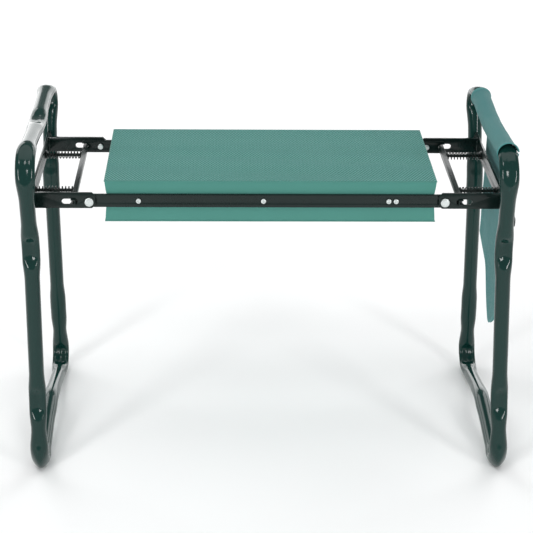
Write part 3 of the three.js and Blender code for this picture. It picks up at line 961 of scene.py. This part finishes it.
def foam_slab(name, node, way, foam):
    """A slab with an embossed face, a thin lip round it, and ends that pull in towards its back.

    way is 1 for a slab that faces up and -1 for one that faces down.
    """
    low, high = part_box(node)
    half = Vector(((high.x - low.x) / 2, (high.y - low.y) / 2))
    middle = (low + high) / 2
    face_z, back_z = (high.z, low.z) if way > 0 else (low.z, high.z)
    bpy.ops.mesh.primitive_grid_add(
        x_subdivisions=round(2 * half.x / EMBOSS["cell"]),
        y_subdivisions=round(2 * half.y / EMBOSS["cell"]),
        size=1,
        location=(middle.x, middle.y, face_z),
    )
    bpy.context.object.scale = (2 * (half.x - FACE_INSIDE), 2 * (half.y - FACE_INSIDE), 1)
    slab = settle(bpy.context.object, name)
    places = points_of(slab)
    places[:, 2] -= way * (1 - tread_height(places)) * EMBOSS["deep"]
    move_points(slab, places)
    bpy.ops.object.mode_set(mode="EDIT")
    bpy.ops.mesh.select_mode(type="EDGE")
    bpy.ops.mesh.select_all(action="DESELECT")
    bpy.ops.mesh.select_non_manifold()

    thick = abs(face_z - back_z)
    pull = END_PULL[node]
    end_in, side_in, lip = RIM[-1]
    rings = list(RIM)
    for part in (0.25, 0.5, 0.75, 0.95):
        rings.append((end_in + pull * part**1.3, side_in, lip + (thick - lip) * part))
    rings.append((FACE_INSIDE + pull, 0.0009, thick))
    size = half - Vector((FACE_INSIDE, FACE_INSIDE))
    for end_in, side_in, depth in rings:
        size = run_rim(size, half - Vector((end_in, side_in)), middle, face_z - way * depth)
    bpy.ops.mesh.edge_face_add()
    bpy.ops.mesh.select_all(action="SELECT")
    bpy.ops.mesh.normals_make_consistent(inside=False)
    done()

    end_skirts(slab, way, back_z)
    mark_tread(slab, middle, half, face_z)
    take(slab)
    bpy.ops.object.shade_smooth_by_angle(angle=math.radians(50))
    fit(slab, "bench", "foam", foam, node)


def mark_tread(slab, middle, half, face_z):
    """Stores the embossing's height, and which points belong to the embossed face."""
    places = points_of(slab)
    tiny = 0.00001
    reach = np.abs(places[:, :2] - np.array(middle)[:2]) - np.array(half) + FACE_INSIDE
    tread = (reach.max(1) < tiny) & (np.abs(places[:, 2] - face_z) < EMBOSS["deep"] + tiny)
    for name, values in (("emboss", tread_height(places)), ("tread", tread)):
        layer = slab.data.attributes.new(name, "FLOAT", "POINT")
        layer.data.foreach_set("value", values.astype(np.float32))


def end_skirts(slab, way, back_z):
    """Carries the foam over the board's two ends, so that the slabs all but meet there."""
    board_low, board_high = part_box("core_board")
    meet_z = (board_low.z + board_high.z) / 2 + way * 0.0002

    def on_back(at, direction):
        return abs(at.z - back_z) < 0.0001 and abs(direction.z) > 0.9

    for end_x, side in ((board_low.x - CLEAR, -1), (board_high.x + CLEAR, 1)):
        pick(slab, "FACE", on_back)
        bpy.ops.mesh.bisect(plane_co=(end_x, 0, 0), plane_no=(1, 0, 0))
        done()
        pick(slab, "FACE", lambda at, direction: on_back(at, direction) and (at.x - end_x) * side > 0)
        bpy.ops.mesh.extrude_region_move(TRANSFORM_OT_translate={"value": (0, 0, meet_z - back_z)})
        done()


# ---------------------------------------------------------------- pouch
def top_bar_x():
    """X of the right loop's top bar."""
    low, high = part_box("right_cross_bar")
    return (low.x + high.x) / 2 + math.tan(LEAN["right"]) * (RAIL_Z - TOP_BAR["middle_z"])


def hem_z(y):
    """Height of the pouch's lower edge, with its corners rounded."""
    ys, zs = zip(*HEM)
    shifts = np.linspace(-0.007, 0.007, 9)
    return sum(np.interp(y + shift, ys, zs) for shift in shifts) / len(shifts)


def hem_share(*distances):
    """1 within the turned hem of any of these edges, 0 inside it."""
    return np.maximum.reduce([1 - smooth_step(0.004, 0.006, distance) for distance in distances])


def cloth_grid(name, columns, rows, shape):
    """A sheet whose points come from shape(across, down), each from 0 to 1; its UVs are in metres."""
    centre = (0.5, 0.5, 0)
    bpy.ops.mesh.primitive_grid_add(x_subdivisions=columns, y_subdivisions=rows, size=1, location=centre)
    sheet = settle(bpy.context.object, name)
    flat = points_of(sheet)
    across, down = np.clip(flat[:, 0], 0, 1), np.clip(flat[:, 1], 0, 1)
    places, hem, cloth = shape(across, down)
    move_points(sheet, places)
    layer = sheet.data.attributes.new("hem", "FLOAT", "POINT")
    layer.data.foreach_set("value", hem.astype(np.float32))
    group = sheet.vertex_groups.new(name="hem")
    for i, weight in enumerate(hem):
        group.add([i], float(0.55 + 0.45 * weight), "REPLACE")
    while sheet.data.uv_layers:
        sheet.data.uv_layers.remove(sheet.data.uv_layers[0])
    uv = sheet.data.uv_layers.new(name="cloth")
    for corner in sheet.data.loops:
        uv.data[corner.index].uv = cloth[corner.vertex_index]
    return sheet


def thicken(sheet, thick):
    """Gives a sheet its thickness, more in its hems."""
    solid = sheet.modifiers.new("cloth", "SOLIDIFY")
    solid.thickness, solid.offset = thick, 0
    solid.vertex_group = "hem"
    take(sheet)
    bpy.ops.object.modifier_apply(modifier=solid.name)
    bpy.ops.object.shade_smooth_by_angle(angle=math.radians(55))


def pouch_back(cloth):
    """One sheet: a sleeve right round the top bar, then the panel straight down outside it."""
    bar_x = top_bar_x()
    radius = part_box("pouch_panel")[1].x - bar_x - 0.0009
    round_bar = 2 * math.pi * radius * SLEEVE_WRAP
    hang = TOP_BAR["middle_z"] - HEM_LOW

    def shape(across, down):
        run = down * (round_bar + hang)
        on_sleeve = run < round_bar
        # the sleeve starts at the outboard side and goes under the bar and over it
        angle = -2 * math.pi * SLEEVE_WRAP * (1 - np.clip(run / round_bar, 0, 1))
        fall = np.clip((run - round_bar) / hang, 0, 1)
        sleeve_share = 1 - smooth_step(0, FLARE, fall)
        width = HALF_WIDTH["panel"] + (HALF_WIDTH["sleeve"] - HALF_WIDTH["panel"]) * sleeve_share
        y = (2 * across - 1) * width - SLEEVE_FORWARD * sleeve_share
        bar_z = TOP_BAR["middle_z"] + TOP_BAR["slope"] * np.abs(y)
        edge = np.minimum(np.abs(across), np.abs(1 - across)) * 2 * width
        rim = np.exp(-((edge / 0.0045) ** 2))
        crease = ripple(np.stack([y, run, 0 * y], 1), 0.030, 1)
        swell = 0.0005 * crease + 0.0012 * rim
        wave = 0.0008 * crease * smooth_step(0.05, 0.3, fall)
        panel_x = bar_x + radius + 0.0001 * rim + wave - 0.0004 * np.sin(fall * 9)
        x = np.where(on_sleeve, bar_x + (radius + swell) * np.cos(angle), panel_x)
        z = np.where(on_sleeve, bar_z + (radius + swell) * np.sin(angle), bar_z - fall * (bar_z - hem_z(y)))
        bottom = np.where(on_sleeve, 1.0, 1 - fall) * hang
        return np.stack([x, y, z], 1), hem_share(edge, bottom), np.stack([y, run], 1)

    sheet = cloth_grid("pouch_sleeve_and_back", 150, 240, shape)
    thicken(sheet, CLOTH)
    fit(sheet, "right_frame", "pouch_cloth", cloth, "pouch_panel")
    return sheet, round_bar, hang


def pouch_front(cloth, tape):
    """The pocket: a sheet that stands off the panel at its mouth and meets it at its sides and hem."""
    pocket_low, pocket_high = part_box("pouch_pocket")
    seam_x, mouth_z = pocket_low.x, pocket_high.z
    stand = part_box("pouch_binding")[1].x - seam_x - 0.0022

    def surface(across, fall):
        y = (2 * across - 1) * HALF_WIDTH["panel"]
        drop = mouth_z - hem_z(y)
        z = mouth_z - fall * drop
        side = np.abs(2 * across - 1)
        slack = 0.0009 * ripple(np.stack([y * 1.4, z, 0 * y], 1), 0.026, 5) * (1 - side**6)
        out = stand * (1 - fall) ** 0.85 * (1 - side**22) + slack * (1 - fall) * 1.2
        return seam_x + 0.0006 + np.maximum(out, 0), y, z, drop

    def shape(across, down):
        x, y, z, drop = surface(across, down)
        edge = np.minimum(across, 1 - across) * 2 * HALF_WIDTH["panel"]
        return np.stack([x, y, z], 1), hem_share(edge, (1 - down) * drop), np.stack([y, z], 1)

    pocket = cloth_grid("pouch_front_pocket", 150, 120, shape)
    thicken(pocket, CLOTH)
    fit(pocket, "right_frame", "pouch_cloth", cloth, "pouch_pocket")

    def fold(across, down):
        """Tape folded over the pocket's mouth: up the inside, over the edge and down the outside."""
        tape_high, usual_drop = 0.0085, 0.12
        bend = (down - 0.5) * 2
        depth = np.abs(bend) * tape_high
        x, y, _, _ = surface(across, depth / usual_drop)
        x = x + np.tanh(bend * 4) * 0.0013
        lift = 0.0006 * (1 - bend**4)
        return np.stack([x, y, mouth_z - depth + lift], 1), 0 * across, np.stack([y, depth], 1)

    strip = cloth_grid("pouch_mouth_tape", 150, 16, fold)
    thicken(strip, 0.0007)
    fit(strip, "right_frame", "binding_tape", tape, "pouch_binding")
    return pocket, strip, stand, mouth_z


def pouch(cloth, tape):
    """Both cuts of cloth."""
    sheet, round_bar, hang = pouch_back(cloth)
    pocket, strip, stand, mouth_z = pouch_front(cloth, tape)


# ---------------------------------------------------------------- assembly
studio()
mottle, weave = mottle_effect(), weave_effect()
green, dark, zinc, wire = gloss_paint(mottle), dark_paint(mottle), zinc_plate(mottle), black_wire(mottle)
foam, board = teal_foam(mottle), plywood(mottle)
cloth, tape = pouch_cloth(mottle, weave), binding_tape(mottle, weave)

side_frames(green)
brackets(dark)
cross_bars(dark)
lock_bars(dark)
guide_rods_and_springs(dark, wire)
rails(dark)
fasteners(zinc)
foam_slab("seat_foam", "upper_pad", 1, foam)
foam_slab("kneeling_foam", "lower_pad", -1, foam)
pouch(cloth, tape)

core = frame["nodes"]["core_board"]
core.data.materials.clear()
core.data.materials.append(board)
